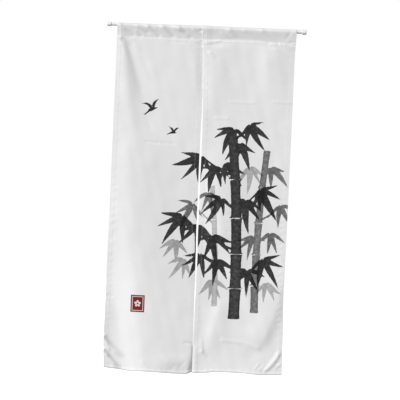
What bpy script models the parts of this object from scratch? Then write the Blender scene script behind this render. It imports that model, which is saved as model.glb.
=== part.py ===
# Two-panel noren door curtain hanging on a telescopic rod.
# Metres, +Z up. The cloth's front faces -Y. The origin is the centre of the flat end of the rod's left
# cap, and the rod runs from there along +X. Tables are in millimetres on the hanging cloth: "x" is
# measured to the right of the cloth's left edge, and "drop" downwards from its top edge.

from collections import namedtuple
import math

import bmesh
import bpy
from mathutils import Vector

MM = 0.001
GAP = 0.3  # between pieces that touch

# Rod
ROD_LENGTH = 864.0
INNER_TUBE_RADIUS = 6.5
OUTER_TUBE_RADIUS = 8.0
OUTER_TUBE_BORE = INNER_TUBE_RADIUS + GAP
INNER_TUBE_BORE = 5.5
TUBE_INSERTED = 120.0
CAP_LENGTH = 18.0
CAP_END = 4.0
CAP_WALL = 1.8
RIGHT_CAP_WALL = 3.0
CAP_EDGE = 1.2
TURNED_STEPS = 32

# Cloth
CLOTH_LEFT = 44.0
CLOTH_THICKNESS = 1.2
TOP_EDGE = OUTER_TUBE_RADIUS + GAP + CLOTH_THICKNESS  # height of drop 0 above the rod's axis
STITCH_DROP = 66.0
BODY_BACK = 1.5  # the hanging cloth's middle plane lies this far behind the rod's axis
POCKET_LAYERS_APART = 2.0
FALL_START = 3.0  # below the rod's axis, where the pocket's front begins to fall back
POCKET_FALL = 53.0
POCKET_HASTE = 0.7  # below 1, the front falls back soonest right under the rod
TUBE_STEP = 289.0  # x at which the wide tube begins
STEP_EASE_START = 244.0
STEP_EASE_END = 268.0

# How finely the cloth is divided: (length in millimetres, number of cells), from its left edge and from
# its hem on
LEFT_PANEL_COLUMNS = ((100, 11), (230, 10), (54, 5))
RIGHT_PANEL_COLUMNS = ((54, 5), (250, 11), (90, 10))
BODY_ROWS = ((154, 14), (1170, 25), (110, 6))
POCKET_SIDE_ROWS = (0, 3, 9, 15, 22, 31, 42)  # how far below the rod's axis each row lies
POCKET_TOP_ROWS = 9

# The panels' outer edges
OuterEdge = namedtuple("OuterEdge", "drop left_x right_x")
OUTER_EDGES = (
    OuterEdge(0, 0, 778),
    OuterEdge(150, 0, 774),
    OuterEdge(740, -1, 772),
    OuterEdge(1100, -3, 769),
    OuterEdge(1380, -4, 774),
    OuterEdge(1500, 1, 776),
)

# The panels' inner edges, and how far each stands out of the hanging plane, easing back to it within its
# reach. The right panel lies over the left one at the top and at the foot.
InnerEdge = namedtuple("InnerEdge", "drop left_x right_x left_out left_reach right_out right_reach")
INNER_EDGES = (
    InnerEdge(0, 391, 371, 0, 40, 1.6, 30),
    InnerEdge(66, 391, 371, 0, 40, 1.6, 30),
    InnerEdge(110, 388, 378, -4.5, 62, 0.5, 40),
    InnerEdge(210, 386, 381, -3.5, 46, 0, 40),
    InnerEdge(340, 381, 385, -1.5, 40, 0, 40),
    InnerEdge(470, 379, 387, -1, 40, 0.3, 40),
    InnerEdge(900, 379, 387, -1, 40, 0.5, 40),
    InnerEdge(1000, 381, 389, -1, 40, 0.8, 40),
    InnerEdge(1150, 383, 387.2, -1, 40, 1.2, 40),
    InnerEdge(1210, 384, 386.2, -1.2, 40, 1.2, 40),
    InnerEdge(1372, 384.2, 385.2, -1.2, 30, 1.4, 30),
    InnerEdge(1394, 387, 386, -5, 13, 1.6, 30),
    InnerEdge(1450, 388.5, 386, -6.5, 13, 1.8, 30),
    InnerEdge(1510, 390, 386, -14, 32, 2, 30),
)

# The bottom hem's line
Hem = namedtuple("Hem", "x drop")
LEFT_HEM = (
    Hem(0, 1498),
    Hem(30, 1502),
    Hem(118, 1510),
    Hem(200, 1509),
    Hem(300, 1513),
    Hem(357, 1513),
    Hem(391, 1503),
)
RIGHT_HEM = (
    Hem(384, 1507),
    Hem(421, 1505),
    Hem(490, 1498),
    Hem(577, 1498),
    Hem(682, 1504),
    Hem(776, 1501),
)

# Soft ridges (out > 0) and troughs (out < 0). Each follows a line from its start to its end, whose
# middle is pushed sideways by "bow". It reaches so far to its left and its right (a level fold's right
# is its upper side), "spread" times as far at its end, and fades in and out over the lengths given.
Fold = namedtuple(
    "Fold",
    "panel start_x start_drop end_x end_drop bow left_reach right_reach spread out fade_in fade_out",
)
FOLDS = (
    Fold("left", 20, 50, 110, 600, -4, 26, 22, 2.2, 6.0, 130, 260),
    Fold("left", 42, 66, 158, 400, 0, 14, 26, 1.7, -3.0, 50, 160),
    Fold("left", 70, 380, 140, 1250, 0, 76, 160, 1.1, 12.5, 240, 360),
    Fold("left", 100, 850, 194, 1600, 0, 86, 200, 1.0, 8.5, 420, 40),
    Fold("left", -44, 620, -20, 1260, 0, 30, 60, 1.0, -4.5, 200, 160),
    Fold("left", 6, 860, 70, 1560, -10, 100, 80, 1.0, -18.5, 280, 20),
    Fold("left", -8, 1366, 98, 1452, -11, 17, 12, 1.0, 8.5, 1, 60),
    Fold("left", -6, 1424, 84, 1504, -8, 16, 12, 1.0, 8.0, 1, 50),
    Fold("left", 222, 1546, 404, 1534, 0, 30, 70, 1.0, -8.0, 130, 10),
    Fold("right", 424, 20, 440, 420, 0, 46, 74, 1.0, 5.0, 90, 200),
    Fold("right", 432, 480, 528, 1060, -4, 56, 90, 1.35, 13.0, 260, 200),
    Fold("right", 516, 940, 664, 1250, 0, 40, 50, 1.0, 6.0, 120, 140),
    Fold("right", 646, 30, 694, 420, 0, 34, 70, 1.1, 4.5, 130, 280),
    Fold("right", 778, 20, 778, 300, 0, 50, 10, 1.0, -4.0, 60, 160),
    Fold("right", 772, 950, 648, 1418, 30, 100, 37, 0.85, 7.6, 200, 90),
    Fold("right", 510, 1160, 446, 1440, 0, 30, 60, 1.0, 5.0, 80, 130),
    Fold("right", 600, 1408, 700, 1430, 0, 30, 30, 1.0, -2.0, 50, 60),
    Fold("right", 360, 1532, 730, 1530, 0, 30, 60, 1.0, 6.0, 30, 70),
    Fold("right", 767, 1390, 690, 1494, 10, 10, 9, 1.0, 4.2, 26, 26),
)


def clear_scene():
    for old in list(bpy.data.objects):
        bpy.data.objects.remove(old, do_unlink=True)


def make_material(name, colour, roughness, metallic=0.0):
    material = bpy.data.materials.new(name)
    material.use_nodes = True
    shader = material.node_tree.nodes["Principled BSDF"]
    shader.inputs["Base Color"].default_value = (*colour, 1.0)
    shader.inputs["Roughness"].default_value = roughness
    shader.inputs["Metallic"].default_value = metallic
    material.diffuse_color = (*colour, 1.0)
    return material


def add_object(name, mesh_builder, material, sharp_from=40):
    """Makes an object, shaded smooth but for edges that bend by more than sharp_from degrees."""
    mesh = bpy.data.meshes.new(name)
    mesh_builder.to_mesh(mesh)
    mesh_builder.free()
    mesh.materials.append(material)
    mesh.shade_smooth()
    mesh.set_sharp_from_angle(angle=math.radians(sharp_from))
    made = bpy.data.objects.new(name, mesh)
    bpy.context.scene.collection.objects.link(made)
    return made


def smooth_step(value, start, end):
    share = min(1.0, max(0.0, (value - start) / (end - start)))
    return share * share * (3 - 2 * share)


def read_table(rows, key, column, value):
    """The column's value at key = value, eased between the rows on either side."""
    lower = rows[0]
    for row in rows:
        if getattr(row, key) > value:
            share = smooth_step(value, getattr(lower, key), getattr(row, key)) if row is not lower else 0.0
            return getattr(lower, column) * (1 - share) + getattr(row, column) * share
        lower = row
    return getattr(rows[-1], column)


# Rod


def turned(name, profile, start_x, material):
    """A solid turned about the rod's axis from a closed outline of (x, radius) points, in millimetres."""
    shape = bmesh.new()
    corners = [shape.verts.new(((start_x + x) * MM, 0, radius * MM)) for x, radius in profile]
    edges = [shape.edges.new(pair) for pair in zip(corners, corners[1:] + corners[:1])]
    bmesh.ops.spin(
        shape,
        geom=corners + edges,
        cent=(0, 0, 0),
        axis=(1, 0, 0),
        angle=math.tau,
        steps=TURNED_STEPS,
        use_merge=True,
    )
    bmesh.ops.remove_doubles(shape, verts=shape.verts, dist=0.01 * MM)
    bmesh.ops.dissolve_degenerate(shape, edges=shape.edges, dist=0.001 * MM)
    bmesh.ops.recalc_face_normals(shape, faces=shape.faces)
    return add_object(name, shape, material)


def tube(name, start_x, end_x, bore, radius, material):
    length = end_x - start_x
    return turned(name, [(0, bore), (length, bore), (length, radius), (0, radius)], start_x, material)


def cap_profile(tube_radius, wall):
    """A cup with a flat closed end at x = 0 and rounded rims, which the tube enters."""
    socket = tube_radius + GAP
    outside = socket + wall
    return [
        (0, 0),
        (CAP_END, 0),
        (CAP_END, socket),
        (CAP_LENGTH, socket),
        (CAP_LENGTH, outside - CAP_EDGE),
        (CAP_LENGTH - CAP_EDGE, outside),
        (CAP_EDGE, outside),
        (0, outside - CAP_EDGE),
    ]


def build_rod():
    painted = make_material("white_painted_steel", (0.86, 0.86, 0.85), 0.35)
    rubber = make_material("white_rubber", (0.80, 0.80, 0.79), 0.7)
    step_x = CLOTH_LEFT + TUBE_STEP
    tube_start = CAP_END + GAP
    tube("rod_inner_tube", tube_start, step_x + TUBE_INSERTED, INNER_TUBE_BORE, INNER_TUBE_RADIUS, painted)
    tube("rod_outer_tube", step_x, ROD_LENGTH - tube_start, OUTER_TUBE_BORE, OUTER_TUBE_RADIUS, painted)
    turned("rod_cap_left", cap_profile(INNER_TUBE_RADIUS, CAP_WALL), 0, rubber)
    mirrored = [(-x, radius) for x, radius in cap_profile(OUTER_TUBE_RADIUS, RIGHT_CAP_WALL)]
    turned("rod_cap_right", mirrored, ROD_LENGTH, rubber)


# Cloth


def fold_out(fold, x, drop):
    """How far one fold moves the cloth towards the viewer at a point."""
    line = Vector((fold.end_x - fold.start_x, fold.end_drop - fold.start_drop))
    length = line.length
    line /= length
    offset = Vector((x - fold.start_x, drop - fold.start_drop))
    along = offset.dot(line)
    if not 0 < along < length:
        return 0.0
    share = along / length
    across = offset.x * line.y - offset.y * line.x - 4 * fold.bow * share * (1 - share)
    reach = (fold.left_reach if across < 0 else fold.right_reach) * (1 + (fold.spread - 1) * share)
    ends = smooth_step(along, 0, fold.fade_in) * smooth_step(length - along, 0, fold.fade_out)
    return fold.out * math.exp(-((across / reach) ** 2)) * ends


def edge_out(panel, x, drop):
    """How far the cloth stands out near the slit, where the right panel lies over the left one."""
    left_x = read_table(INNER_EDGES, "drop", "left_x", drop)
    right_x = read_table(INNER_EDGES, "drop", "right_x", drop)
    out = read_table(INNER_EDGES, "drop", f"{panel}_out", drop)
    reach = read_table(INNER_EDGES, "drop", f"{panel}_reach", drop)
    if panel == "right":
        return out * (1 - smooth_step(x - max(left_x, right_x), 0, reach))
    return out * max(0.0, 1 - max(0.0, left_x - x) / reach) ** 2


def cloth_out(panel, x, drop):
    """How far the hanging cloth stands out of its plane, in millimetres towards the viewer."""
    folds = sum(fold_out(fold, x, drop) for fold in FOLDS if fold.panel == panel)
    return folds * smooth_step(drop, STITCH_DROP, STITCH_DROP + 30) + edge_out(panel, x, drop)


def tube_out(x):
    """How far the pocket's middle stands off the rod's axis on the narrow tube and on the wide one."""
    share = smooth_step(x, STEP_EASE_START, STEP_EASE_END)
    tube_radius = INNER_TUBE_RADIUS * (1 - share) + OUTER_TUBE_RADIUS * share
    return tube_radius + GAP + CLOTH_THICKNESS / 2


def panel_span(panel, drop):
    """The panel's left and right edges at this drop."""
    inner = read_table(INNER_EDGES, "drop", f"{panel}_x", drop)
    outer = read_table(OUTER_EDGES, "drop", f"{panel}_x", drop)
    return (outer, inner) if panel == "left" else (inner, outer)


def body_point(panel, across, below_stitch):
    """A point of the hanging cloth: below_stitch runs from 0 at the stitch line to 1 at the hem."""
    hem = LEFT_HEM if panel == "left" else RIGHT_HEM
    start, end = panel_span(panel, STITCH_DROP)
    bottom = read_table(hem, "x", "drop", start + (end - start) * across)
    drop = STITCH_DROP + (bottom - STITCH_DROP) * below_stitch
    start, end = panel_span(panel, drop)
    x = start + (end - start) * across
    return Vector((x, BODY_BACK - cloth_out(panel, x, drop), TOP_EDGE - drop))


def pocket_point(panel, across, part, place):
    """A point of the pocket. Its place is a height on the sides, or a share of the way over the rod."""
    below = 0.0 if part == "top" else -place
    start, end = panel_span(panel, TOP_EDGE + below if part == "front" else below)
    x = start + (end - start) * across
    over = edge_out(panel, x, 0)
    radius = tube_out(x) + over
    if part == "top":
        angle = math.pi * (1 - place)
        return Vector((x, radius * math.cos(angle), radius * math.sin(angle)))
    if part == "front":
        fallen = max(0.0, below - FALL_START) / POCKET_FALL
        settled = smooth_step(fallen**POCKET_HASTE, 0, 1)
        return Vector((x, BODY_BACK * settled - tube_out(x) * (1 - settled) - over, place))
    foot = BODY_BACK + POCKET_LAYERS_APART + over
    return Vector((x, radius + (foot - radius) * smooth_step(below, FALL_START, POCKET_FALL), place))


def shares(zones):
    """Shares from 0 to 1 that divide a length by a table of (length, cells)."""
    total = sum(length for length, _ in zones)
    found = [0.0]
    reached = 0.0
    for length, cells in zones:
        found += [(reached + length * (cell + 1) / cells) / total for cell in range(cells)]
        reached += length
    return found


def cloth_rows():
    """The rows of the cloth from its hem to the pocket's last edge, as (part, place)."""
    stitch = STITCH_DROP - TOP_EDGE
    rows = [("body", 1 - share) for share in shares(BODY_ROWS)]
    rows += [("front", -below) for below in reversed(POCKET_SIDE_ROWS)]
    rows += [("top", (n + 1) / POCKET_TOP_ROWS) for n in range(POCKET_TOP_ROWS)]
    rows += [("back", -below) for below in (*POCKET_SIDE_ROWS[1:], stitch)]
    return rows


def cloth_point(panel, across, part, place):
    if part == "body":
        return body_point(panel, across, place)
    return pocket_point(panel, across, part, place)


def build_panel(panel, columns, material):
    """One hemmed panel: a flat grid laid into the shape that it hangs in, then given its thickness."""
    rows = cloth_rows()
    cloth = bmesh.new()
    grid_size = 1.0
    bmesh.ops.create_grid(cloth, x_segments=len(columns) - 1, y_segments=len(rows) - 1, size=grid_size)
    for vertex in cloth.verts:
        column = round((vertex.co.x + grid_size) / (2 * grid_size) * (len(columns) - 1))
        row = round((vertex.co.y + grid_size) / (2 * grid_size) * (len(rows) - 1))
        vertex.co = cloth_point(panel, columns[column], *rows[row]) * MM
        vertex.co.x += CLOTH_LEFT * MM
    made = add_object(f"panel_{panel}", cloth, material, sharp_from=180)
    thickness = made.modifiers.new("thickness", "SOLIDIFY")
    thickness.thickness = CLOTH_THICKNESS * MM
    thickness.offset = 0.0
    thickness.use_even_offset = True
    return made


def main():
    clear_scene()
    build_rod()
    white_cloth = make_material("white_polyester_cloth", (0.80, 0.80, 0.80), 0.85)
    build_panel("left", shares(LEFT_PANEL_COLUMNS), white_cloth)
    build_panel("right", shares(RIGHT_PANEL_COLUMNS), white_cloth)


main()
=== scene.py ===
import math
import random
from collections import namedtuple

import bmesh
import bpy
import numpy as np
from mathutils import Matrix, Vector


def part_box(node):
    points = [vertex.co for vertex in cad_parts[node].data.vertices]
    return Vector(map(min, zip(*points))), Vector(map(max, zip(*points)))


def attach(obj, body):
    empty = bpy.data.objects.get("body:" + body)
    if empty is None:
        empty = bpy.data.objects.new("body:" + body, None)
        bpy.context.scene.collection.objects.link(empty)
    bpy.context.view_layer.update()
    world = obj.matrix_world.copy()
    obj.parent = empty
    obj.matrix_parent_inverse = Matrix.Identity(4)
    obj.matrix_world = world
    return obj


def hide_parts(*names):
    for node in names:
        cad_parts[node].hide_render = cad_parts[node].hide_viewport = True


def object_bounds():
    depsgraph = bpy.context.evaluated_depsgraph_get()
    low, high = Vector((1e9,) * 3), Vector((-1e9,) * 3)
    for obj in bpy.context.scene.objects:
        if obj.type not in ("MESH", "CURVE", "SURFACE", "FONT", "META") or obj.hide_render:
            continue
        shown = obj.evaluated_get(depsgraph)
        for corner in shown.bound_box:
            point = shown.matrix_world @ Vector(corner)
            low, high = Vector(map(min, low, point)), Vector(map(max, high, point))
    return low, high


# A noren door curtain on a tension rod: hung cloth, sewing, ink print, rod, light and camera.
# Sizes are in millimetres. On the cloth "x" runs right from its left edge and "drop" down from its top
# edge. "along" is the drop too, but above the stitch line it goes on up, over the rod and down the back.
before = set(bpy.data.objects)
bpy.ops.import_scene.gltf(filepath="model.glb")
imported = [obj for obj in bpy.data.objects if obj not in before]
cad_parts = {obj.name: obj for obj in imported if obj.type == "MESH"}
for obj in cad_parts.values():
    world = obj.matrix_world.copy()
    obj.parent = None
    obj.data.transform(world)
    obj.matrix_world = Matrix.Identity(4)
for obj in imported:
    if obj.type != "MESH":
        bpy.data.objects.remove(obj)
cadLow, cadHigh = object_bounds()
mm = 0.001

# Cloth: the shape it hangs in

clothSettings = {
    "leftX": 44.0,  # where the cloth starts on the rod
    "topEdge": 9.5,  # height of drop 0 above the rod's axis
    "stitchDrop": 66.0,  # the seam under the rod pocket
    "fallStart": 3.0,  # below the rod's axis, where the pocket's front begins to fall back
    "pocketFall": 53.0,
    "bodyFront": -1.5,  # the hanging cloth lies 1.5 mm behind the axis
    "pocketHaste": 0.7,  # below 1, the front falls back soonest right under the rod
    "layersApart": 1.4,
    "thickness": 0.45,
    "hemThickness": 0.9,  # three layers of 0.3 mm
    "sideHem": 20.0,
    "bottomHem": 13.0,
    "narrowTube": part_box("rod_inner_tube")[1].z / mm,
    "wideTube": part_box("rod_outer_tube")[1].z / mm,
    "tubeStep": (244.0, 268.0),  # x from and to which the pocket widens
    "clothOffTube": 0.9,  # the solids' cloth has its middle this far off the tube
    "foldFade": 30.0,
    "wrinkleStart": (-4.0, 9.0),  # drops between which the wrinkles begin, over the rod
    "hemBulge": 1.9,
    "hemBulgeFull": 5.0,  # height above the edge from which the bulge is full
    "hemRoll": 2.2,
    "hemRollHeight": 4.0,
}

# Length and cell size of each zone, from the panel's left edge and from the hem up
columnZones = ((0.6, 0.6), (23.4, 2.6), (348, 4.0), (23.4, 2.6), (0.6, 0.6))
bodyZones = ((0.6, 0.6), (35.4, 2.6), (1300, 4.2), (110, 3.5))
pocketCells = 55  # from the stitch line over the rod and down its back

OuterEdge = namedtuple("OuterEdge", "drop leftX rightX")
outerEdges = (
    OuterEdge(0, 0, 778),
    OuterEdge(150, 0, 774),
    OuterEdge(740, -1, 772),
    OuterEdge(1100, -3, 769),
    OuterEdge(1380, -4, 774),
    OuterEdge(1500, 1, 776),
)

InnerEdge = namedtuple("InnerEdge", "drop leftX rightX leftOut leftReach rightOut rightReach")
innerEdges = (
    InnerEdge(0, 391, 371, 0, 40, 1.6, 30),
    InnerEdge(66, 391, 371, 0, 40, 1.6, 30),
    InnerEdge(110, 388, 378, -4.5, 62, 0.5, 40),
    InnerEdge(210, 386, 381, -3.5, 46, 0, 40),
    InnerEdge(340, 381, 385, -1.5, 40, 0, 40),
    InnerEdge(470, 379, 387, -1, 40, 0.3, 40),
    InnerEdge(900, 379, 387, -1, 40, 0.5, 40),
    InnerEdge(1000, 381, 389, -1, 40, 0.8, 40),
    InnerEdge(1150, 383, 387.2, -1, 40, 1.2, 40),
    InnerEdge(1210, 384, 386.2, -1.2, 40, 1.2, 40),
    InnerEdge(1372, 384.2, 385.2, -1.2, 30, 1.4, 30),
    InnerEdge(1394, 387, 386, -5, 13, 1.6, 30),
    InnerEdge(1450, 388.5, 386, -6.5, 13, 1.8, 30),
    InnerEdge(1510, 390, 386, -14, 32, 2, 30),
)

Hem = namedtuple("Hem", "x drop")
hemLines = {
    "left": (Hem(0, 1498), Hem(30, 1502), Hem(118, 1510), Hem(200, 1509), Hem(300, 1513), Hem(357, 1513),
             Hem(391, 1503)),
    "right": (Hem(384, 1507), Hem(421, 1505), Hem(490, 1498), Hem(577, 1498), Hem(682, 1504),
              Hem(776, 1501)),
}

# Ridges (out > 0) and troughs (out < 0) along a line from start to end, its middle pushed by "bow"
Fold = namedtuple(
    "Fold",
    "panel startX startDrop endX endDrop bow leftReach rightReach spread out fadeIn fadeOut",
)
folds = (
    Fold("left", 20, 50, 110, 600, -4, 26, 22, 2.2, 6.0, 130, 260),
    Fold("left", 42, 66, 158, 400, 0, 14, 26, 1.7, -3.0, 50, 160),
    Fold("left", 70, 380, 140, 1250, 0, 76, 160, 1.1, 12.5, 240, 360),
    Fold("left", 100, 850, 194, 1600, 0, 86, 200, 1.0, 8.5, 420, 40),
    Fold("left", -44, 620, -20, 1260, 0, 30, 60, 1.0, -4.5, 200, 160),
    Fold("left", 6, 860, 70, 1560, -10, 100, 80, 1.0, -18.5, 280, 20),
    Fold("left", -8, 1366, 98, 1452, -11, 17, 12, 1.0, 8.5, 1, 60),
    Fold("left", -6, 1424, 84, 1504, -8, 16, 12, 1.0, 8.0, 1, 50),
    Fold("left", 222, 1546, 404, 1534, 0, 30, 70, 1.0, -8.0, 130, 10),
    Fold("right", 424, 20, 440, 420, 0, 46, 74, 1.0, 5.0, 90, 200),
    Fold("right", 432, 480, 528, 1060, -4, 56, 90, 1.35, 13.0, 260, 200),
    Fold("right", 516, 940, 664, 1250, 0, 40, 50, 1.0, 6.0, 120, 140),
    Fold("right", 646, 30, 694, 420, 0, 34, 70, 1.1, 4.5, 130, 280),
    Fold("right", 778, 20, 778, 300, 0, 50, 10, 1.0, -4.0, 60, 160),
    Fold("right", 772, 950, 648, 1418, 30, 100, 37, 0.85, 7.6, 200, 90),
    Fold("right", 510, 1160, 446, 1440, 0, 30, 60, 1.0, 5.0, 80, 130),
    Fold("right", 600, 1408, 700, 1430, 0, 30, 30, 1.0, -2.0, 50, 60),
    Fold("right", 360, 1532, 730, 1530, 0, 30, 60, 1.0, 6.0, 30, 70),
    Fold("right", 767, 1390, 690, 1494, 10, 10, 9, 1.0, 4.2, 26, 26),
)

# Fine creases: the pocket's wrinkles, pulls at the stitching and the marks of its folding for the pack.
# Each stands out by so much at its start and at its end; "left" of a level one is its lower side
Crease = namedtuple(
    "Crease", "panel startX startDrop endX endDrop leftReach rightReach startOut endOut fadeIn fadeOut"
)
creases = (
    Crease("left", -2, 60, 400, 60, 6, 9, -1.1, -1.2, 6, 6),
    Crease("right", 366, 62, 426, 62, 6, 9, -0.7, -0.9, 6, 6),
    Crease("right", 436, 61, 474, 56, 6, 10, -1.1, -1.4, 6, 6),
    Crease("right", 484, 55, 612, 53, 7, 12, -1.6, -1.6, 6, 6),
    Crease("right", 622, 54, 650, 60, 6, 10, -1.5, -1.3, 6, 6),
    Crease("right", 660, 61, 780, 64, 6, 9, -1.2, -1.4, 6, 6),
    Crease("left", -2, 13, 372, 13, 28, 4, 0.7, 0.5, 4, 4),
    Crease("right", 360, 13, 780, 13, 28, 4, 0.5, 0.5, 4, 4),
    Crease("left", 20, 28, 21, 64, 9, 20, 1.6, 1.2, 8, 6),
    Crease("left", 16, 16, 70, 51, 8, 8, 3.2, -1.4, 14, 8),
    Crease("left", 84, 38, 104, 54, 8, 7, 1.6, -1.2, 12, 8),
    Crease("left", 88, 15, 130, 40, 8, 8, 3.2, -1.8, 13, 12),
    Crease("left", 134, 16, 182, 52, 9, 8, 4.2, -1.9, 15, 8),
    Crease("left", 166, 20, 200, 38, 7, 7, 1.6, 0.2, 12, 12),
    Crease("left", 198, 14, 244, 52, 9, 8, 4.8, -2.0, 14, 8),
    Crease("left", 252, 14, 292, 31, 9, 8, 3.8, -1.4, 13, 12),
    Crease("left", 270, 18, 320, 53, 9, 8, 4.8, -2.0, 15, 8),
    Crease("left", 332, 22, 360, 44, 7, 7, 1.8, 0.0, 12, 12),
    Crease("left", -6, 57, 32, 78, 7, 8, 4.0, 1.6, 6, 12),
    Crease("left", 14, 66, 36, 122, 10, 12, 2.8, 1.0, 10, 20),
    Crease("left", 232, 76, 306, 77, 4, 5, -0.8, -0.8, 10, 10),
    Crease("left", 84, 98, 112, 120, 9, 8, 1.0, -0.4, 14, 14),
    Crease("left", 104, 130, 150, 220, 10, 14, -0.4, -0.9, 30, 40),
    Crease("left", 377, 72, 379, 268, 22, 7, -2.9, -1.6, 8, 70),
    Crease("right", 378, 36, 380, 58, 5, 4, -0.4, -0.4, 8, 6),
    Crease("left", 356, 24, 366, 23, 5, 6, -1.6, -3.0, 6, 5),
    Crease("left", 352, 80, 370, 86, 6, 7, -1.6, -3.0, 8, 8),
    Crease("right", 458, 32, 498, 54, 9, 9, 2.0, -0.6, 14, 12),
    Crease("right", 488, 16, 524, 42, 9, 8, 3.4, 0.0, 14, 14),
    Crease("right", 554, 14, 592, 26, 8, 8, 2.0, 0.2, 13, 14),
    Crease("right", 630, 14, 684, 56, 10, 9, 3.0, -0.4, 16, 14),
    Crease("right", 752, 16, 736, 40, 7, 6, -1.0, -0.9, 8, 8),
    Crease("right", 372, 66, 500, 66, 30, 5, 1.2, 0.8, 10, 40),
    Crease("right", 392, 74, 446, 63, 9, 6, 1.9, 2.3, 12, 8),
    Crease("right", 392, 83, 440, 73, 44, 9, -1.7, -1.6, 12, 14),
    Crease("right", 408, 118, 434, 138, 9, 8, 2.0, -0.4, 12, 12),
    Crease("right", 388, 92, 412, 180, 20, 18, 0.9, 0.3, 16, 40),
    Crease("right", 464, 116, 486, 190, 16, 16, -0.6, -0.8, 24, 30),
    Crease("right", 668, 70, 690, 71, 5, 9, 1.5, 1.5, 6, 6),
    Crease("right", 708, 68, 730, 69, 5, 9, 1.5, 1.5, 6, 6),
    Crease("right", 694, 90, 750, 126, 8, 8, 1.2, -0.8, 16, 14),
    Crease("right", 758, 56, 774, 61, 5, 6, -1.8, -1.8, 6, 8),
    Crease("left", 148, 513, 200, 516, 4, 5, -1.2, -1.7, 6, 5),
    Crease("left", 214, 516, 262, 517, 4, 5, -1.2, -1.3, 5, 6),
    Crease("left", 128, 386, 156, 440, 10, 10, 0.4, -0.8, 20, 24),
    Crease("right", 504, 326, 606, 327, 4, 6, 1.0, 1.0, 6, 6),
    Crease("right", 690, 318, 768, 321, 4, 6, 1.0, 1.0, 6, 6),
    Crease("right", 444, 398, 494, 400, 4, 6, 1.2, 1.2, 6, 6),
    Crease("right", 560, 738, 762, 744, 4, 6, -0.7, -0.7, 8, 8),
    Crease("right", 502, 816, 600, 820, 4, 6, -0.6, -0.6, 8, 8),
    Crease("right", 518, 886, 720, 890, 4, 6, -0.6, -0.6, 8, 8),
    Crease("right", 464, 956, 540, 960, 4, 6, -0.6, -0.6, 8, 8),
    Crease("right", 512, 1362, 600, 1368, 5, 10, 1.8, 1.4, 8, 14),
    Crease("right", 622, 1372, 664, 1386, 10, 8, 1.8, 2.2, 14, 14),
    Crease("right", 423, 1378, 426, 1412, 24, 6, 1.8, 2.0, 18, 12),
    Crease("right", 426, 1412, 450, 1438, 10, 9, 2.4, -1.0, 12, 14),
    Crease("right", 398, 1398, 397, 1500, 9, 22, 1.6, 2.0, 14, 20),
    Crease("left", 350, 1379, 386, 1382, 4, 7, -1.6, -2.0, 6, 8),
    Crease("left", 278, 1450, 362, 1452, 44, 20, 2.2, 2.9, 40, 16),
    Crease("left", 286, 1462, 344, 1488, 16, 12, 1.8, -0.6, 24, 16),
    Crease("left", 352, 1462, 330, 1484, 9, 8, -0.8, -1.3, 12, 8),
    Crease("left", 312, 1478, 292, 1496, 8, 8, -0.8, -0.8, 10, 8),
    Crease("left", 168, 1470, 186, 1482, 6, 7, 1.6, 0.4, 10, 10),
    Crease("right", 696, 1462, 678, 1482, 5, 6, 1.1, 1.3, 6, 6),
    Crease("right", 674, 1458, 658, 1476, 5, 6, 0.9, 1.0, 6, 6),
    Crease("right", 768, 1452, 748, 1474, 6, 5, 1.4, 1.0, 6, 8),
    Crease("left", 8, 1188, 24, 1191, 5, 6, -1.6, -1.6, 5, 6),
    Crease("left", 0, 1386, 20, 1418, 6, 5, -1.6, 2.4, 7, 9),
    Crease("left", 14, 1444, 50, 1490, 8, 9, 2.6, 1.4, 10, 12),
)

# Ripples that sewing pulls into the cloth on both sides of a seam
puckerSettings = {
    "fade": 20.0,  # at both ends of a row of ripples
    "slant": 0.105,
    "uneven": 0.35,
}
Pucker = namedtuple("Pucker", "panel seam start end spacing out reach")
puckers = (
    Pucker("left", "outer", 70, 700, 34, 0.3, 12),
    Pucker("left", "outer", 690, 1040, 38, 0.8, 13),
    Pucker("left", "outer", 1030, 1490, 30, 0.4, 14),
    Pucker("right", "outer", 70, 800, 31, 0.2, 11),
    Pucker("right", "outer", 780, 1290, 27, 0.9, 8),
    Pucker("right", "outer", 1280, 1490, 27, 0.6, 12),
    Pucker("left", "inner", 60, 1490, 33, 0.2, 10),
    Pucker("right", "inner", 60, 1490, 33, 0.25, 10),
    Pucker("left", "stitch", 0, 400, 41, 0.2, 12),
    Pucker("right", "stitch", 370, 778, 37, 0.2, 12),
    Pucker("left", "hem", 0, 400, 24, 0.25, 9),
    Pucker("right", "hem", 370, 778, 24, 0.25, 9),
)


def smoothStep(value, start, end):
    share = np.clip((value - start) / (end - start), 0.0, 1.0)
    return share * share * (3 - 2 * share)


def readTable(rows, key, column, value):
    # The column's value where the key is "value", eased from row to row
    found = np.zeros(np.shape(value)) + getattr(rows[0], column)
    for lower, upper in zip(rows, rows[1:]):
        rise = getattr(upper, column) - getattr(lower, column)
        found = found + rise * smoothStep(value, getattr(lower, key), getattr(upper, key))
    return found


def acrossLine(line, x, drop):
    # How far along a line from its start to its end a point lies, its length, and how far to its right
    lineX, lineDrop = line.endX - line.startX, line.endDrop - line.startDrop
    length = math.hypot(lineX, lineDrop)
    offsetX, offsetDrop = x - line.startX, drop - line.startDrop
    along = (offsetX * lineX + offsetDrop * lineDrop) / length
    return along, length, (offsetX * lineDrop - offsetDrop * lineX) / length


def foldOut(fold, x, drop):
    along, length, across = acrossLine(fold, x, drop)
    share = np.clip(along / length, 0.0, 1.0)
    across = across - 4 * fold.bow * share * (1 - share)
    reach = np.where(across < 0, fold.leftReach, fold.rightReach) * (1 + (fold.spread - 1) * share)
    ends = smoothStep(along, 0, fold.fadeIn) * smoothStep(length - along, 0, fold.fadeOut)
    return fold.out * np.exp(-((across / reach) ** 2)) * ends


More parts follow.
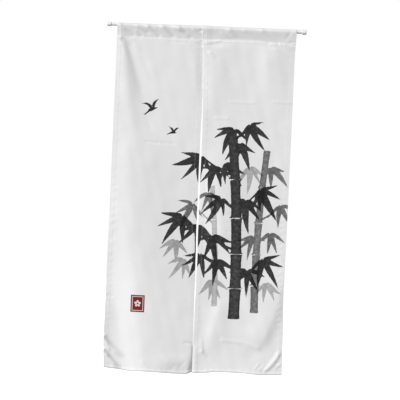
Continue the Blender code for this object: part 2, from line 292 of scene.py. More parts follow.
def creaseOut(crease, x, drop):
    along, length, across = acrossLine(crease, x, drop)
    share = np.clip(along / length, 0.0, 1.0)
    out = crease.startOut + (crease.endOut - crease.startOut) * share
    reach = np.where(across < 0, crease.leftReach, crease.rightReach)
    past = along - share * length
    fade = np.where(past < 0, crease.fadeIn, crease.fadeOut)
    return out * np.exp(-((across / reach) ** 2) - (past / fade) ** 2)


def edgeOut(panel, x, drop):
    # Near the slit, where the right panel lies over the left one
    edge = readTable(innerEdges, "drop", f"{panel}X", drop)
    out = readTable(innerEdges, "drop", f"{panel}Out", drop)
    reach = readTable(innerEdges, "drop", f"{panel}Reach", drop)
    if panel == "left":
        return out * np.maximum(0.0, 1 - np.maximum(0.0, edge - x) / reach) ** 2
    overlapEnd = np.maximum(edge, readTable(innerEdges, "drop", "leftX", drop))
    return out * (1 - smoothStep(x - overlapEnd, 0, reach))


def panelSpan(panel, drop):
    inner = readTable(innerEdges, "drop", f"{panel}X", drop)
    outer = readTable(outerEdges, "drop", f"{panel}X", drop)
    return (outer, inner) if panel == "left" else (inner, outer)


def hemDrop(panel, x):
    return readTable(hemLines[panel], "x", "drop", x)


def seamPlace(panel, seam, x, drop):
    # How far a point is from a seam, and how far along the seam it lies
    start, end = panelSpan(panel, drop)
    side = clothSettings["sideHem"]
    if seam == "stitch":
        return drop - clothSettings["stitchDrop"], x
    if seam == "hem":
        return hemDrop(panel, x) - clothSettings["bottomHem"] - drop, x
    onLeft = (seam == "outer") == (panel == "left")
    return (x - start - side if onLeft else end - side - x), drop


def puckerOut(pucker, x, drop):
    away, place = seamPlace(pucker.panel, pucker.seam, x, drop)
    # Slow waves along the seam make the ripples' spacing and height wander
    s = puckerSettings
    phase = math.tau * place / pucker.spacing + 1.7 * np.sin(place / 61) + 0.9 * np.sin(place / 23 + 1)
    uneven = 1 - s["uneven"] * (1 - np.sin(place / 47 + 2) * np.sin(place / 19))
    ends = smoothStep(place, pucker.start, pucker.start + s["fade"])
    ends = ends * smoothStep(pucker.end - place, 0, s["fade"])
    slant = s["slant"] * math.tau * away / pucker.spacing
    return pucker.out * uneven * np.cos(phase + slant) * np.exp(-((away / pucker.reach) ** 2)) * ends


def rippleOut(x, drop):
    # The slight unevenness of all hung cloth: a few long crossing waves, each with its height, its
    # length across and down, and its start
    waves = ((0.16, 96, 410, 0.3), (0.12, 61, -290, 1.9), (0.1, 143, 133, 4.1), (0.07, -47, 171, 2.6))
    return sum(out * np.sin(math.tau * (x / acrossLength + drop / downLength) + start)
               for out, acrossLength, downLength, start in waves)


def hemOut(panel, x, drop):
    # The bottom hem bulges above its edge, and the edge itself rolls back
    s = clothSettings
    above = hemDrop(panel, x) - drop
    bulge = s["hemBulge"] * smoothStep(above, s["bottomHem"], s["hemBulgeFull"])
    return bulge - s["hemRoll"] * np.clip(1 - above / s["hemRollHeight"], 0, 1) ** 2


def wrinkleOut(panel, x, along):
    out = rippleOut(x, along)
    for crease in creases:
        if crease.panel == panel:
            out = out + creaseOut(crease, x, along)
    for pucker in puckers:
        if pucker.panel == panel:
            out = out + puckerOut(pucker, x, along)
    return out * smoothStep(along, *clothSettings["wrinkleStart"]) + hemOut(panel, x, along)


def bodyOut(panel, x, drop):
    stitch = clothSettings["stitchDrop"]
    out = sum(foldOut(fold, x, drop) for fold in folds if fold.panel == panel)
    return out * smoothStep(drop, stitch, stitch + clothSettings["foldFade"]) + edgeOut(panel, x, drop)


def tubeOut(x):
    # How far the cloth's middle stands off the rod's axis on either tube
    share = smoothStep(x, *clothSettings["tubeStep"])
    tube = clothSettings["narrowTube"] * (1 - share) + clothSettings["wideTube"] * share
    return tube + clothSettings["clothOffTube"]


def pocketLength(panel, x):
    # The cloth's length from the stitch line up, over the rod and down the back to the stitch line
    radius = tubeOut(x) + edgeOut(panel, x, np.zeros(np.shape(x)))
    return 2 * (clothSettings["stitchDrop"] - clothSettings["topEdge"]) + math.pi * radius


def clothPosition(panel, x, along):
    # Where the cloth's middle lies, in millimetres in the part's frame
    x, along = np.broadcast_arrays(np.asarray(x, float), np.asarray(along, float))
    s = clothSettings
    over = edgeOut(panel, x, np.zeros(np.shape(x)))
    wrinkle = wrinkleOut(panel, x, along)
    up = s["topEdge"] - along
    fallen = np.clip((-up - s["fallStart"]) / s["pocketFall"], 0, 1)
    settled = smoothStep(fallen ** s["pocketHaste"], 0, 1)
    frontOut = tubeOut(x) * (1 - settled) + s["bodyFront"] * settled
    frontY = -frontOut - bodyOut(panel, x, np.maximum(along, 0)) - wrinkle

    radius = tubeOut(x) + over
    angle = math.pi - np.clip(up / radius, 0, math.pi)
    down = up - math.pi * radius
    backFoot = s["layersApart"] - s["bodyFront"] + over
    backY = radius + (backFoot - radius) * smoothStep(down, s["fallStart"], s["pocketFall"])
    y = np.where(up <= 0, frontY, np.where(down < 0, (radius + wrinkle) * np.cos(angle), backY))
    z = np.where(up <= 0, up, np.where(down < 0, (radius + wrinkle) * np.sin(angle), -down))
    return np.stack((x + s["leftX"], y, z), axis=-1)


def clothNormal(panel, x, along, step=1.0):
    acrossWay = clothPosition(panel, x + step, along) - clothPosition(panel, x - step, along)
    upWay = clothPosition(panel, x, along - step) - clothPosition(panel, x, along + step)
    normal = np.cross(acrossWay, upWay)
    return normal / np.linalg.norm(normal, axis=-1, keepdims=True)


# Ink print: bamboo in three depths of ink, two small birds, and a plain red block

inkSettings = {
    "seed": 11,
    "leafStalk": 5.0,
    "leafWidth": 0.2,  # of its length
    "leafSpread": 33.0,  # degrees between neighbouring leaves
    "outerLeaves": 0.006,  # how much shorter, for each degree from the cluster's middle
    "farthest": 40.0,  # distances from a stroke are kept up to this
    "strength": {"far": 0.22, "middle": 0.5, "near": 1.0},
    "culmGap": 6.0,  # bare cloth at each joint
    "culmTaper": 0.22,
    "jointLine": {"reach": 0.62, "above": 2.0, "bow": 3.0, "width": 4.5},
}
# Ranges from which each leaf and culm is drawn; "turn" is in degrees and the others are shares
unevenness = {
    "spread": (0.8, 1.15),
    "turn": (-5.0, 5.0),
    "length": (0.8, 1.12),
    "width": (0.85, 1.2),
    "bow": (-0.06, 0.06),
    "leafLoad": (0.86, 1.0),
    "joint": (0.95, 1.05),
    "culmLoad": (0.9, 1.0),
}
inkLayers = ("far", "middle", "near")

Culm = namedtuple("Culm", "footX footDrop topX topDrop bow width joints layer load")
culms = (
    Culm(470, 1216, 440, 690, 8, 26, 4, "far", 0.8),
    Culm(644, 1238, 672, 530, -12, 36, 5, "middle", 0.95),
    Culm(556, 1268, 520, 470, 14, 52, 5, "near", 1.0),
)

Twig = namedtuple("Twig", "startX startDrop endX endDrop bow width layer")
twigs = (
    Twig(520, 640, 392, 566, 8, 9, "near"),
    Twig(532, 806, 646, 700, -8, 9, "near"),
    Twig(538, 964, 320, 826, 14, 9, "near"),
    Twig(548, 1110, 672, 1000, -8, 9, "near"),
    Twig(520, 500, 590, 420, -4, 8, "near"),
    Twig(544, 1040, 402, 990, 8, 8, "near"),
    Twig(660, 830, 738, 764, -6, 7, "middle"),
    Twig(458, 860, 362, 772, 5, 7, "far"),
)

# Each cluster of leaves hangs from one point; "lean" turns it from straight down, in degrees to the right
Cluster = namedtuple("Cluster", "x drop lean leaves length layer load")
clusters = (
    Cluster(392, 566, -38, 5, 150, "near", 1.0),
    Cluster(448, 606, -10, 5, 140, "near", 1.0),
    Cluster(492, 588, 22, 4, 124, "near", 0.95),
    Cluster(590, 420, 30, 5, 136, "near", 1.0),
    Cluster(526, 440, -26, 5, 122, "near", 1.0),
    Cluster(552, 500, 6, 4, 124, "near", 0.95),
    Cluster(646, 700, 34, 5, 142, "near", 1.0),
    Cluster(588, 744, 4, 5, 138, "near", 1.0),
    Cluster(320, 826, -34, 5, 152, "near", 1.0),
    Cluster(384, 862, -6, 5, 146, "near", 1.0),
    Cluster(450, 904, 12, 5, 136, "near", 1.0),
    Cluster(672, 1000, 30, 5, 142, "near", 1.0),
    Cluster(606, 1048, 0, 5, 136, "near", 1.0),
    Cluster(484, 742, -26, 5, 126, "near", 0.95),
    Cluster(402, 990, -20, 5, 138, "near", 1.0),
    Cluster(470, 1010, 8, 4, 128, "near", 0.95),
    Cluster(738, 764, 12, 4, 106, "middle", 1.0),
    Cluster(690, 600, 22, 4, 116, "middle", 1.0),
    Cluster(628, 900, -14, 5, 124, "middle", 1.0),
    Cluster(700, 884, 10, 4, 112, "middle", 1.0),
    Cluster(362, 772, -26, 5, 124, "middle", 0.9),
    Cluster(424, 720, -4, 4, 118, "middle", 0.9),
    Cluster(330, 1010, -18, 4, 120, "far", 1.0),
    Cluster(452, 1096, 14, 4, 116, "far", 1.0),
    Cluster(600, 600, 12, 4, 122, "far", 0.9),
    Cluster(290, 930, -16, 4, 112, "far", 1.0),
    Cluster(690, 1100, 14, 4, 116, "far", 0.9),
)

Bird = namedtuple("Bird", "x drop span turn")
birds = (Bird(168, 372, 104, -8), Bird(262, 470, 72, 12))

# All of these are painted in strokes; "shape" is the way a stroke's width runs along it
Stroke = namedtuple("Stroke", "startX startDrop endX endDrop bow width shape layer load")


def birdStrokes(bird):
    # A small bird in flight, in five strokes around its middle; offsets are shares of its span
    plan = (
        (-0.20, 0.05, 0.24, -0.06, 0.02, 0.13, "leaf", 1.0),
        (-0.02, -0.01, -0.46, -0.30, -0.10, 0.12, "leaf", 0.9),
        (0.03, -0.03, 0.34, -0.42, 0.09, 0.12, "leaf", 0.9),
        (-0.16, 0.05, -0.44, 0.16, 0.03, 0.05, "leaf", 0.95),
        (-0.16, 0.05, -0.38, 0.24, -0.02, 0.05, "leaf", 0.95),
    )
    x, drop, size, turn = bird
    cosTurn, sinTurn = math.cos(math.radians(turn)), math.sin(math.radians(turn))
    made = []
    for x0, d0, x1, d1, bow, width, shape, load in plan:
        ends = [(x + size * (a * cosTurn - b * sinTurn), drop + size * (a * sinTurn + b * cosTurn))
                for a, b in ((x0, d0), (x1, d1))]
        made.append(Stroke(*ends[0], *ends[1], bow * size, width * size, shape, "near", load))
    return made


def leafStrokes(cluster, chance):
    s = inkSettings
    made = []
    for n in range(cluster.leaves):
        fan = (n - (cluster.leaves - 1) / 2) * s["leafSpread"] * chance.uniform(*unevenness["spread"])
        angle = math.radians(cluster.lean + fan + chance.uniform(*unevenness["turn"]))
        length = cluster.length * (1 - s["outerLeaves"] * abs(fan)) * chance.uniform(*unevenness["length"])
        width = length * s["leafWidth"] * chance.uniform(*unevenness["width"])
        startX = cluster.x + s["leafStalk"] * math.sin(angle)
        startDrop = cluster.drop + s["leafStalk"] * math.cos(angle)
        endX = startX + length * math.sin(angle)
        endDrop = startDrop + length * math.cos(angle)
        bow = chance.uniform(*unevenness["bow"]) * length
        load = cluster.load * chance.uniform(*unevenness["leafLoad"])
        made.append(Stroke(startX, startDrop, endX, endDrop, bow, width, "leaf", cluster.layer, load))
    return made


def culmStrokes(culm, chance):
    # A culm is a stroke for each joint, longer the higher it is, with bare cloth between them and a
    # dark line over each gap
    s, line = inkSettings, inkSettings["jointLine"]
    made = []
    shares = [0.0]
    for n in range(culm.joints):
        shares.append(shares[-1] + (0.82 + 0.09 * n) * chance.uniform(*unevenness["joint"]))
    shares = [share / shares[-1] for share in shares]
    halfGap = s["culmGap"] / 2 / math.hypot(culm.topX - culm.footX, culm.topDrop - culm.footDrop)

    def place(share):
        return (culm.footX + (culm.topX - culm.footX) * share + 4 * culm.bow * share * (1 - share),
                culm.footDrop + (culm.topDrop - culm.footDrop) * share)

    for lower, upper in zip(shares, shares[1:]):
        start, end = place(lower + halfGap), place(upper - halfGap)
        width = culm.width * (1 - s["culmTaper"] * lower)
        load = culm.load * chance.uniform(*unevenness["culmLoad"])
        made.append(Stroke(*start, *end, 0, width, "culm", culm.layer, load))
        if upper < 1:
            x, drop = place(upper)
            reach, lineDrop = width * line["reach"], drop - line["above"]
            made.append(Stroke(x - reach, lineDrop, x + reach, lineDrop, line["bow"], line["width"],
                               "stem", culm.layer, 1.0))
    return made


def allStrokes():
    chance = random.Random(inkSettings["seed"])
    made = []
    for culm in culms:
        made += culmStrokes(culm, chance)
    for twig in twigs:
        made.append(Stroke(*twig[:6], "stem", twig.layer, 0.95))
    for cluster in clusters:
        made += leafStrokes(cluster, chance)
    for bird in birds:
        made += birdStrokes(bird)
    return made


def strokeWidth(shape, share):
    # A leaf is widest near its stalk, a culm widens at its joints and a stem tapers
    if shape == "leaf":
        return np.sin(math.pi * share**0.55)
    if shape == "culm":
        return 0.9 + 0.1 * np.abs(2 * share - 1) ** 3
    return 1 - 0.3 * share


def strokeInk(stroke, x, drop):
    # Distance from the stroke's edge, negative inside it, and how much ink it carries there
    lineX, lineDrop = stroke.endX - stroke.startX, stroke.endDrop - stroke.startDrop
    length = math.hypot(lineX, lineDrop)
    along = ((x - stroke.startX) * lineX + (drop - stroke.startDrop) * lineDrop) / length
    share = np.clip(along / length, 0.0, 1.0)
    across = ((x - stroke.startX) * lineDrop - (drop - stroke.startDrop) * lineX) / length
    across = across - 4 * stroke.bow * share * (1 - share)
    half = stroke.width / 2 * strokeWidth(stroke.shape, share)
    past = np.maximum(np.maximum(-along, along - length), 0.0)
    beside = np.abs(across) - half
    edge = np.hypot(np.maximum(beside, 0), past) + np.minimum(beside, 0) * (past == 0)
    # Ink gathers along a culm's sides and thins towards a leaf's tip
    inside = np.clip(np.abs(across) / np.maximum(half, 0.5), 0, 1)
    if stroke.shape == "culm":
        load = stroke.load * (0.78 + 0.22 * inside**2)
    elif stroke.shape == "leaf":
        load = stroke.load * (1 - 0.2 * share)
    else:
        load = stroke.load * np.ones(np.shape(share))
    return edge, load


def inkOnCloth(x, along):
    # For each layer of ink, the distance from its nearest stroke's edge and that stroke's load
    farthest = inkSettings["farthest"]
    edges = np.full((len(x), len(inkLayers)), farthest)
    loads = np.zeros((len(x), len(inkLayers)))
    for stroke in allStrokes():
        layer = inkLayers.index(stroke.layer)
        edge, load = strokeInk(stroke, x, along)
        nearer = edge < edges[:, layer]
        edges[nearer, layer] = edge[nearer]
        loads[nearer, layer] = load[nearer] * inkSettings["strength"][stroke.layer]
    return edges, loads


# Materials

def linearColour(hexText):
    channels = [int(hexText[n:n + 2], 16) / 255 for n in (1, 3, 5)]
    return [c / 12.92 if c <= 0.04045 else ((c + 0.055) / 1.055) ** 2.4 for c in channels] + [1.0]


def addNode(tree, kind, inputs=None, **settings):
    # A node given as an input's value is linked from its first output
    node = tree.nodes.new(kind)
    for name, value in settings.items():
        setattr(node, name, value)
    for socket, value in (inputs or {}).items():
        if isinstance(value, bpy.types.Node):
            value = next(output for output in value.outputs if output.enabled)
        if isinstance(value, bpy.types.NodeSocket):
            tree.links.new(value, node.inputs[socket])
        else:
            node.inputs[socket].default_value = value
    return node


def newMaterial(name):
    material = bpy.data.materials.new(name)
    material.use_nodes = True
    return material, material.node_tree, material.node_tree.nodes["Principled BSDF"]


printSettings = {
    "ink": "#1b1a1c",
    "densest": 4.4,  # full ink lets through exp(-4.4) of the cloth's white
    "white": ("#e4e4e4", "#eaeaea"),
    "red": "#7d2022",
    "blockX": 138.0,
    "blockDrop": 1216.0,
    "blockHalfWidth": 30.0,
    "blockHalfHeight": 37.0,
    "frameInset": 7.0,
    "frameWidth": 2.6,
    "blossom": 15.0,
    "blossomEye": 3.7,
    "through": 0.22,  # share of the print that shows on the back
    "ragged": 3.6,  # how far a stroke's edge wanders
    "soft": 0.9,
    "wetness": (0.55, 1.3),  # of the densest ink, in dry and in wet spots
    "raggedLength": 9.0,
    "cloudLength": 14.0,
    "blockRagged": 2.4,
    "blockRaggedLength": 4.0,
    "petalDepth": 0.45,  # of the blossom's radius
    "bareness": 0.8,  # of the frame line and the blossom
}
weaveSettings = {
    "slubWidth": 1.6,
    "slubLength": 28.0,
    "mottle": 70.0,
    "roughness": 0.85,
    "specular": 0.2,
    "bump": 0.25,
    "bumpHeight": 0.2,
}


def inkDensity(tree, place):
    # How much ink lies on the cloth, 0 to 1, from the attributes that the cloth carries
    s = printSettings
    wobble = addNode(tree, "ShaderNodeTexNoise",
                     {"Vector": place, "Scale": 1 / (s["raggedLength"] * mm), "Detail": 3.0})
    shift = addNode(tree, "ShaderNodeMath", {0: wobble, 1: s["ragged"], 2: -s["ragged"] / 2},
                    operation="MULTIPLY_ADD")
    edges = addNode(tree, "ShaderNodeAttribute", attribute_name="inkEdge").outputs["Vector"]
    loads = addNode(tree, "ShaderNodeAttribute", attribute_name="inkLoad").outputs["Vector"]
    edges = addNode(tree, "ShaderNodeSeparateXYZ", {0: edges}).outputs
    loads = addNode(tree, "ShaderNodeSeparateXYZ", {0: loads}).outputs
    amount = 0.0
    for edge, load in zip(edges, loads):
        rough = addNode(tree, "ShaderNodeMath", {0: edge, 1: shift}, operation="ADD")
        cover = addNode(tree, "ShaderNodeMapRange",
                        {"Value": rough, "From Min": s["soft"], "From Max": -s["soft"]},
                        interpolation_type="SMOOTHSTEP")
        amount = addNode(tree, "ShaderNodeMath", {0: cover, 1: load, 2: amount}, operation="MULTIPLY_ADD")
    # Where the brush ran drier the cloth shows through in cloudy spots
    grain = addNode(tree, "ShaderNodeTexNoise", {"Vector": place, "Scale": 1 / (s["cloudLength"] * mm),
                                                 "Detail": 6.0, "Roughness": 0.65})
    dry, wet = s["wetness"]
    wetness = addNode(tree, "ShaderNodeMapRange", {"Value": grain, "From Min": 0.25, "From Max": 0.75,
                                                   "To Min": -dry * s["densest"],
                                                   "To Max": -wet * s["densest"]})
    passed = addNode(tree, "ShaderNodeMath", {0: amount, 1: wetness}, operation="MULTIPLY")
    passed = addNode(tree, "ShaderNodeMath", {0: passed}, operation="EXPONENT")
    return addNode(tree, "ShaderNodeMath", {0: 1.0, 1: passed}, operation="SUBTRACT")


def blockCover(tree, place):
    # The red block: a rectangle with a pale frame line and a plain five-petalled blossom left bare
    s = printSettings
    middle = (s["blockX"] * mm, -s["blockDrop"] * mm, 0)
    moved = addNode(tree, "ShaderNodeVectorMath", {0: place, 1: middle}, operation="SUBTRACT")
    inMm = addNode(tree, "ShaderNodeVectorMath", {0: moved, "Scale": 1 / mm}, operation="SCALE")
    parts = addNode(tree, "ShaderNodeSeparateXYZ", {0: inMm}).outputs
    rough = addNode(tree, "ShaderNodeTexNoise",
                    {"Vector": inMm, "Scale": 1 / s["blockRaggedLength"], "Detail": 4.0})
    sides = []
    for part, half in ((parts[0], s["blockHalfWidth"]), (parts[1], s["blockHalfHeight"])):
        size = addNode(tree, "ShaderNodeMath", {0: part}, operation="ABSOLUTE")
        sides.append(addNode(tree, "ShaderNodeMath", {0: size, 1: half}, operation="SUBTRACT"))
    outside = addNode(tree, "ShaderNodeMath", {0: sides[0], 1: sides[1]}, operation="MAXIMUM")
    ragged = addNode(tree, "ShaderNodeMath", {0: rough, 1: s["blockRagged"], 2: outside},
                     operation="MULTIPLY_ADD")
    block = addNode(tree, "ShaderNodeMapRange", {"Value": ragged, "From Min": s["blockRagged"] / 2 + 0.5,
                                                 "From Max": s["blockRagged"] / 2 - 0.5})

    line = addNode(tree, "ShaderNodeMath", {0: outside, 1: s["frameInset"]}, operation="ADD")
    line = addNode(tree, "ShaderNodeMath", {0: line}, operation="ABSOLUTE")
    line = addNode(tree, "ShaderNodeMapRange", {"Value": line, "From Min": s["frameWidth"] / 2 + 0.4,
                                                "From Max": s["frameWidth"] / 2 - 0.4})
    angle = addNode(tree, "ShaderNodeMath", {0: parts[0], 1: parts[1]}, operation="ARCTAN2")
    petals = addNode(tree, "ShaderNodeMath", {0: angle, 1: 2.5}, operation="MULTIPLY")
    petals = addNode(tree, "ShaderNodeMath", {0: petals}, operation="COSINE")
    petals = addNode(tree, "ShaderNodeMath", {0: petals}, operation="ABSOLUTE")
    depth = s["petalDepth"] * s["blossom"]
    reach = addNode(tree, "ShaderNodeMath", {0: petals, 1: depth, 2: s["blossom"] - depth},
                    operation="MULTIPLY_ADD")
    fromMiddle = addNode(tree, "ShaderNodeVectorMath", {0: inMm}, operation="LENGTH")
    inside = addNode(tree, "ShaderNodeMath", {0: reach, 1: fromMiddle}, operation="SUBTRACT")
    outsideEye = addNode(tree, "ShaderNodeMath", {0: fromMiddle, 1: s["blossomEye"]}, operation="SUBTRACT")
    blossom = addNode(tree, "ShaderNodeMath", {0: inside, 1: outsideEye}, operation="MINIMUM")
    blossom = addNode(tree, "ShaderNodeMapRange", {"Value": blossom, "From Min": -0.5, "From Max": 0.5})
    pale = addNode(tree, "ShaderNodeMath", {0: line, 1: blossom}, operation="MAXIMUM")
    bare = addNode(tree, "ShaderNodeMath", {0: pale, 1: -s["bareness"], 2: 1.0},
                   operation="MULTIPLY_ADD")
    return addNode(tree, "ShaderNodeMath", {0: block, 1: bare}, operation="MULTIPLY")


def wovenPolyester(name, printShare):
    # Plain-woven polyester, heat-printed: dull white, a faint thread grain and soft mottling
    s = weaveSettings
    material, tree, shader = newMaterial(name)
    place = addNode(tree, "ShaderNodeUVMap", uv_map="cloth")
    # Threads lie 0.3 mm apart; they are drawn as slubs 1.6 mm wide so that their grain shows at all
    fine, long = 1 / (s["slubWidth"] * mm), 1 / (s["slubLength"] * mm)
    warp = addNode(tree, "ShaderNodeMapping", {"Vector": place, "Scale": (fine, long, 1)})
    weft = addNode(tree, "ShaderNodeMapping", {"Vector": place, "Scale": (long, fine, 1)})
    warp = addNode(tree, "ShaderNodeTexNoise", {"Vector": warp, "Scale": 1.0, "Detail": 2.0})
    weft = addNode(tree, "ShaderNodeTexNoise", {"Vector": weft, "Scale": 1.0, "Detail": 2.0})
    grain = addNode(tree, "ShaderNodeMath", {0: warp, 1: weft}, operation="ADD")
    mottle = addNode(tree, "ShaderNodeTexNoise",
                     {"Vector": place, "Scale": 1 / (s["mottle"] * mm), "Detail": 4.0})
    tone = addNode(tree, "ShaderNodeMath", {0: grain, 1: 0.5, 2: mottle}, operation="MULTIPLY_ADD")
    tone = addNode(tree, "ShaderNodeMapRange", {"Value": tone, "From Min": 0.6, "From Max": 1.4})
    # Inputs 6 and 7 of a colour mix are its two colours
    dull, bright = (linearColour(colour) for colour in printSettings["white"])
    colour = addNode(tree, "ShaderNodeMix", {"Factor": tone, 6: dull, 7: bright}, data_type="RGBA")
    for cover, pigment in ((inkDensity(tree, place), "ink"), (blockCover(tree, place), "red")):
        cover = addNode(tree, "ShaderNodeMath", {0: cover, 1: printShare}, operation="MULTIPLY")
        colour = addNode(tree, "ShaderNodeMix", {"Factor": cover, 6: colour,
                                                 7: linearColour(printSettings[pigment])}, data_type="RGBA")
    tree.links.new(colour.outputs[2], shader.inputs["Base Color"])
    shader.inputs["Roughness"].default_value = s["roughness"]
    shader.inputs["Specular IOR Level"].default_value = s["specular"]
    bump = addNode(tree, "ShaderNodeBump",
                   {"Height": grain, "Strength": s["bump"], "Distance": s["bumpHeight"] * mm})
    tree.links.new(bump.outputs[0], shader.inputs["Normal"])
    return material


# Two colours, the grain's size and detail, how deep it is bumped, and the roughness
Finish = namedtuple("Finish", "dull bright grain detail bump roughness")
finishes = {
    "thread": Finish("#dedee0", "#f2f2f3", 0.6, 2.0, 0.4, 0.55),
    "enamel": Finish("#ececec", "#f6f6f6", 2.5, 2.0, 0.15, 0.3),
    "rubber": Finish("#e6e6e5", "#f7f7f6", 6.0, 4.0, 0.2, 0.65),
}


def grainedFinish(name, finish):
    # One fine grain carries both the change of tone and the unevenness of the surface
    material, tree, shader = newMaterial(name)
    place = addNode(tree, "ShaderNodeTexCoord").outputs["Object"]
    grain = addNode(tree, "ShaderNodeTexNoise",
                    {"Vector": place, "Scale": 1 / (finish.grain * mm), "Detail": finish.detail})
    colour = addNode(tree, "ShaderNodeMix", {"Factor": grain, 6: linearColour(finish.dull),
                                             7: linearColour(finish.bright)}, data_type="RGBA")
    tree.links.new(colour.outputs[2], shader.inputs["Base Color"])
    shader.inputs["Roughness"].default_value = finish.roughness
    bump = addNode(tree, "ShaderNodeBump", {"Height": grain, "Strength": finish.bump, "Distance": 0.1 * mm})
    tree.links.new(bump.outputs[0], shader.inputs["Normal"])
    return material


def polyesterThread():
    # Spun sewing thread: a little brighter and glossier than the cloth, with its twist as a fine bump
    return grainedFinish("spunPolyesterThread", finishes["thread"])


def whiteEnamel():
    # White enamel on steel tube: smooth and satin, with the faint orange peel of sprayed paint
    return grainedFinish("whiteEnamelOnSteel", finishes["enamel"])


def whiteRubber():
    # Moulded rubber: matte, its tone and surface varied by a fine random grain
    return grainedFinish("mouldedWhiteRubber", finishes["rubber"])


# Cloth: its mesh

def dividedShares(zones):
    total = sum(length for length, _ in zones)
    shares = [0.0]
    reached = 0.0
    for length, cell in zones:
        cells = max(1, round(length / cell))
        shares += [(reached + length * (n + 1) / cells) / total for n in range(cells)]
        reached += length
    return np.array(shares)


def placeOnMesh(mesh, columns, bodyRows, pocketRows, panel):
    # Lays a flat unit grid on the hung cloth and gives each vertex's x and along
    flat = np.empty(len(mesh.vertices) * 3)
    mesh.vertices.foreach_get("co", flat)
    flat = flat.reshape(-1, 3)
    rowCount = len(bodyRows) + len(pocketRows) - 1
    column = np.rint((flat[:, 0] + 1) / 2 * (len(columns) - 1)).astype(int)
    row = np.rint((flat[:, 1] + 1) / 2 * (rowCount - 1)).astype(int)
    share = columns[column]
    stitch = clothSettings["stitchDrop"]

    start, end = panelSpan(panel, stitch)
    bottom = hemDrop(panel, start + (end - start) * share)
    drop = stitch + (bottom - stitch) * bodyRows[np.minimum(row, len(bodyRows) - 1)]
    start, end = panelSpan(panel, drop)
    bodyX = start + (end - start) * share

    pocketShare = pocketRows[np.maximum(row - len(bodyRows) + 1, 0)]
    start, end = panelSpan(panel, stitch * np.abs(1 - 2 * pocketShare))
    pocketX = start + (end - start) * share
    pocketAlong = stitch - pocketShare * pocketLength(panel, pocketX)

    inBody = row < len(bodyRows)
    return np.where(inBody, bodyX, pocketX), np.where(inBody, drop, pocketAlong)


def buildPanel(panel, materials):
    columns = dividedShares(columnZones)
    bodyRows = 1 - dividedShares(bodyZones)
    pocketRows = np.linspace(0, 1, pocketCells + 1)
    shape = bmesh.new()
    bmesh.ops.create_grid(shape, x_segments=len(columns) - 1,
                          y_segments=len(bodyRows) + len(pocketRows) - 2, size=1.0)
    mesh = bpy.data.meshes.new(f"cloth_{panel}")
    shape.to_mesh(mesh)
    shape.free()
    x, along = placeOnMesh(mesh, columns, bodyRows, pocketRows, panel)
    position = clothPosition(panel, x, along) * mm
    mesh.vertices.foreach_set("co", position.ravel())

    corner = np.empty(len(mesh.loops), dtype=int)
    mesh.loops.foreach_get("vertex_index", corner)
    uvMap = mesh.uv_layers.new(name="cloth")
    uvMap.data.foreach_set("uv", (np.stack((x, -along), axis=-1)[corner] * mm).ravel())
    edges, loads = inkOnCloth(x, along)
    mesh.attributes.new("inkEdge", "FLOAT_VECTOR", "POINT").data.foreach_set("vector", edges.ravel())
    mesh.attributes.new("inkLoad", "FLOAT_VECTOR", "POINT").data.foreach_set("vector", loads.ravel())
    for material in materials:
        mesh.materials.append(material)
    mesh.shade_smooth()
    mesh.update()

    made = bpy.data.objects.new(f"cloth_{panel}", mesh)
    bpy.context.scene.collection.objects.link(made)
    start, end = panelSpan(panel, np.maximum(along, 0))
    fromSide = np.minimum(x - start, end - x)
    fromHem = hemDrop(panel, x) - along
    hemmed = (fromSide < clothSettings["sideHem"]) | (fromHem < clothSettings["bottomHem"])
    made.vertex_groups.new(name="hem").add([int(n) for n in np.flatnonzero(hemmed)], 1.0, "REPLACE")
    thickness = made.modifiers.new("thickness", "SOLIDIFY")
    thickness.thickness = clothSettings["hemThickness"] * mm
    thickness.offset = 0.0
    thickness.vertex_group = "hem"
    thickness.thickness_vertex_group = clothSettings["thickness"] / clothSettings["hemThickness"]
    thickness.material_offset = 1
    return made


# Stitching

stitchSettings = {
    "pitch": 4.2,
    "length": 3.1,
    "radius": 0.35,
    "sides": 5,
    "rise": 0.15,
    "inset": 2.0,  # from the folded inner edge of a hem
    "belowSeam": 1.5,
    "sideTop": 8.0,
    "sideFoot": 1495.0,
    "footDrop": 1500.0,
}


def stitchTemplate():
    # One stitch along X: a thread that dips into the cloth at both ends
    shape = bmesh.new()
    s = stitchSettings
    bmesh.ops.create_uvsphere(shape, u_segments=s["sides"], v_segments=s["sides"], radius=1.0,
                              matrix=Matrix.Rotation(math.radians(90), 4, "Y"))
    for vertex in shape.verts:
        vertex.co.x *= s["length"] / 2 * mm
        vertex.co.y *= s["radius"] * mm
        vertex.co.z *= s["radius"] * mm
    mesh = bpy.data.meshes.new("stitch")
    shape.to_mesh(mesh)
    shape.free()
    return mesh


def sewAlong(shape, template, panel, path):
    # Lays a stitch on the cloth's front at each point of the path, turned along it
    x, along = path[:, 0], path[:, 1]
    position = clothPosition(panel, x, along)
    normal = clothNormal(panel, x, along)
    way = np.gradient(position, axis=0)
    lift = clothSettings["hemThickness"] / 2 + stitchSettings["rise"]
    for point, outward, forward in zip(position, normal, way):
        lengthwise = Vector(forward).normalized()
        upward = Vector(outward)
        sideways = upward.cross(lengthwise).normalized()
        upward = lengthwise.cross(sideways)
        turn = Matrix((lengthwise, sideways, upward)).transposed().to_4x4()
        turn.translation = (Vector(point) + upward * lift) * mm
        template.transform(turn)
        shape.from_mesh(template)
        template.transform(turn.inverted())


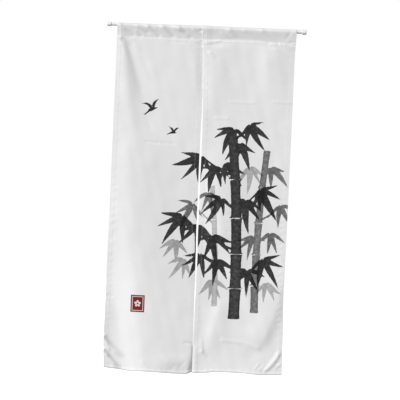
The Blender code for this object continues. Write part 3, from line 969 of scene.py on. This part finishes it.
def seamPaths(panel):
    s = stitchSettings
    stitch, side = clothSettings["stitchDrop"], clothSettings["sideHem"] - s["inset"]
    drops = np.arange(s["sideTop"], s["sideFoot"], s["pitch"])
    start, end = panelSpan(panel, drops)
    bottomX = np.arange(*panelSpan(panel, s["footDrop"]), s["pitch"])
    bottom = hemDrop(panel, bottomX) - clothSettings["bottomHem"] + s["inset"]
    topX = np.arange(*panelSpan(panel, stitch), s["pitch"])
    return (
        np.stack((start + side, drops), axis=-1),
        np.stack((end - side, drops), axis=-1),
        np.stack((bottomX, bottom), axis=-1),
        np.stack((topX, np.full(len(topX), stitch + s["belowSeam"])), axis=-1),
    )


def buildStitches(panel, material):
    template = stitchTemplate()
    shape = bmesh.new()
    for path in seamPaths(panel):
        sewAlong(shape, template, panel, path)
    mesh = bpy.data.meshes.new(f"stitching_{panel}")
    shape.to_mesh(mesh)
    shape.free()
    bpy.data.meshes.remove(template)
    mesh.materials.append(material)
    mesh.shade_smooth()
    made = bpy.data.objects.new(f"stitching_{panel}", mesh)
    bpy.context.scene.collection.objects.link(made)
    return made


print("Materials")
frontCloth = wovenPolyester("printedPolyesterFront", 1.0)
backCloth = wovenPolyester("printedPolyesterBack", printSettings["through"])
thread = polyesterThread()
enamel = whiteEnamel()
rubber = whiteRubber()

for side in ("left", "right"):
    print("Cloth:", side, "panel")
    clothPiece = buildPanel(side, (frontCloth, backCloth))
    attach(clothPiece, "root")
    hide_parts(f"panel_{side}")
    print("Stitching:", side, "panel")
    stitches = buildStitches(side, thread)
    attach(stitches, "root")

print("Rod")
for name, material in (("rod_inner_tube", enamel), ("rod_outer_tube", enamel), ("rod_cap_left", rubber),
                       ("rod_cap_right", rubber)):
    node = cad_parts[name]
    node.data.materials.clear()
    node.data.materials.append(material)

# Light, floor and camera

cameraSettings = {
    "distance": 9.0,
    "frameWidth": 1.735,
    "aim": (0.4336, 0.0, -0.7467),
    "roll": 2.42,  # degrees; the photograph leans this far
}
lightSettings = {
    "sunPower": 3.77,
    "sunSoftness": 14.0,
    "sunWay": (0.66, 0.66, -0.36),
    "backPower": 2.0,
    "backWay": (-0.3, -0.85, -0.4),
    "skyPower": 0.15,
    "floorDrop": 0.4,
    "floorSize": 40.0,
    "floorGlow": 0.5,  # lifts the paper to the plain white of the backdrop
}


def addSun(name, power, way, softness):
    light = bpy.data.lights.new(name, "SUN")
    light.energy = power
    light.angle = math.radians(softness)
    made = bpy.data.objects.new(name, light)
    made.rotation_euler = Vector(way).to_track_quat("-Z", "Y").to_euler()
    bpy.context.scene.collection.objects.link(made)


def addLight():
    s = lightSettings
    addSun("keyLight", s["sunPower"], s["sunWay"], s["sunSoftness"])
    addSun("backLight", s["backPower"], s["backWay"], s["sunSoftness"])
    world = bpy.data.worlds.new("studio")
    bpy.context.scene.world = world
    world.use_nodes = True
    tree = world.node_tree
    sky = tree.nodes["Background"]
    sky.inputs["Color"].default_value = (1, 1, 1, 1)
    seen = addNode(tree, "ShaderNodeLightPath").outputs["Is Camera Ray"]
    strength = addNode(tree, "ShaderNodeMath", {0: seen, 1: 1 - s["skyPower"], 2: s["skyPower"]},
                       operation="MULTIPLY_ADD")
    tree.links.new(strength.outputs[0], sky.inputs["Strength"])
    bpy.context.scene.view_settings.view_transform = "Standard"


def addFloor():
    s = lightSettings
    shape = bmesh.new()
    bmesh.ops.create_grid(shape, x_segments=1, y_segments=1, size=s["floorSize"] / 2,
                          matrix=Matrix.Translation((0, 0, cadLow.z - s["floorDrop"])))
    mesh = bpy.data.meshes.new("floor")
    shape.to_mesh(mesh)
    shape.free()
    material, _, shader = newMaterial("palePaper")
    shader.inputs["Base Color"].default_value = linearColour("#f4f4f2")
    shader.inputs["Roughness"].default_value = 0.9
    shader.inputs["Emission Color"].default_value = (1, 1, 1, 1)
    shader.inputs["Emission Strength"].default_value = s["floorGlow"]
    mesh.materials.append(material)
    floor = bpy.data.objects.new("floor", mesh)
    bpy.context.scene.collection.objects.link(floor)
    floor.visible_diffuse = False
    floor.visible_glossy = False


def addCamera():
    s = cameraSettings
    camera = bpy.data.cameras.new("camera")
    camera.sensor_width = 36.0
    camera.lens = camera.sensor_width * s["distance"] / s["frameWidth"]
    made = bpy.data.objects.new("camera", camera)
    roll = math.radians(s["roll"])
    back = Vector((0, -1, 0))
    across = Vector((math.cos(roll), 0, math.sin(roll)))
    upward = Vector((-math.sin(roll), 0, math.cos(roll)))
    turned = Matrix((across, upward, back)).transposed().to_4x4()
    turned.translation = Vector(s["aim"]) + back * s["distance"]
    made.matrix_world = turned
    bpy.context.scene.collection.objects.link(made)
    bpy.context.scene.camera = made


print("Light, floor and camera")
addLight()
addFloor()
addCamera()
